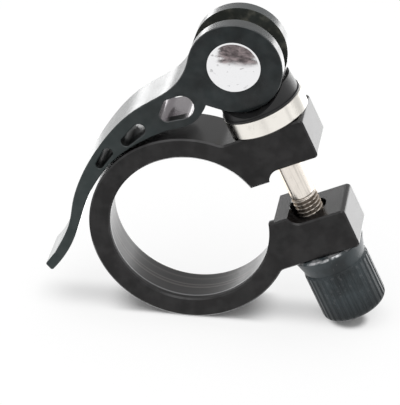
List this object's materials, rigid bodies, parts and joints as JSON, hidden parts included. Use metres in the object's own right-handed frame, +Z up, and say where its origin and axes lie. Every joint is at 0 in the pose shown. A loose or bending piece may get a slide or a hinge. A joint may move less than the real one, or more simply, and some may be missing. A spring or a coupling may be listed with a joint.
{
  "type": "seatpost clamp",
  "caption": "Split collar that clamps a seat tube on its seatpost, closed by a quick-release cam lever, a cross bolt and a splined thumb nut.",
  "frame": {"origin": "centre of the collar's bore, at the middle of the collar's width", "axes": "+Y along the bore's axis from the lip to the open end, where the seat tube leaves; +Z up as the clamp stands on its ring and its nut; +X to the side of the slot and the nut"},
  "size_m": [0.0637, 0.0154, 0.0608],
  "materials": {
    "collar_black": "satin black anodised",
    "lever_black": "satin black anodised",
    "barrel_chrome": "polished plating",
    "bolt_steel": "nickel plated",
    "saddle_plastic": "semi-gloss",
    "washer_nickel": "nickel plated",
    "nut_black": "satin black anodised"
  },
  "bodies": {
    "collar": {"collar": "collar_black", "washer": "washer_nickel", "cam_saddle": "saddle_plastic"},
    "skewer": {"skewer_bolt": "bolt_steel", "pivot_barrel": "barrel_chrome"},
    "lever": {"cam_lever": "lever_black"},
    "nut": {"adjusting_nut": "nut_black"}
  },
  "joints": [
    {"name": "nut_turn", "type": "hinge", "parent": "collar", "child": "nut", "pos_m": [0.01943, 0, 0.00885], "axis": [0.4143, 0, -0.9101], "range_deg": [0, 1440]},
    {"name": "skewer_slide", "type": "slide", "parent": "collar", "child": "skewer", "axis": [-0.4143, 0, 0.9101], "range_m": [0, 0.0032]},
    {"name": "lever_hinge", "type": "hinge", "parent": "skewer", "child": "lever", "pos_m": [0.00807, 0, 0.03381], "axis": [0, 1, 0], "range_deg": [0, 180]}
  ],
  "couplings": [
    {"joint": "nut_turn", "follows": "skewer_slide", "rad_per_m": 7854}
  ]
}
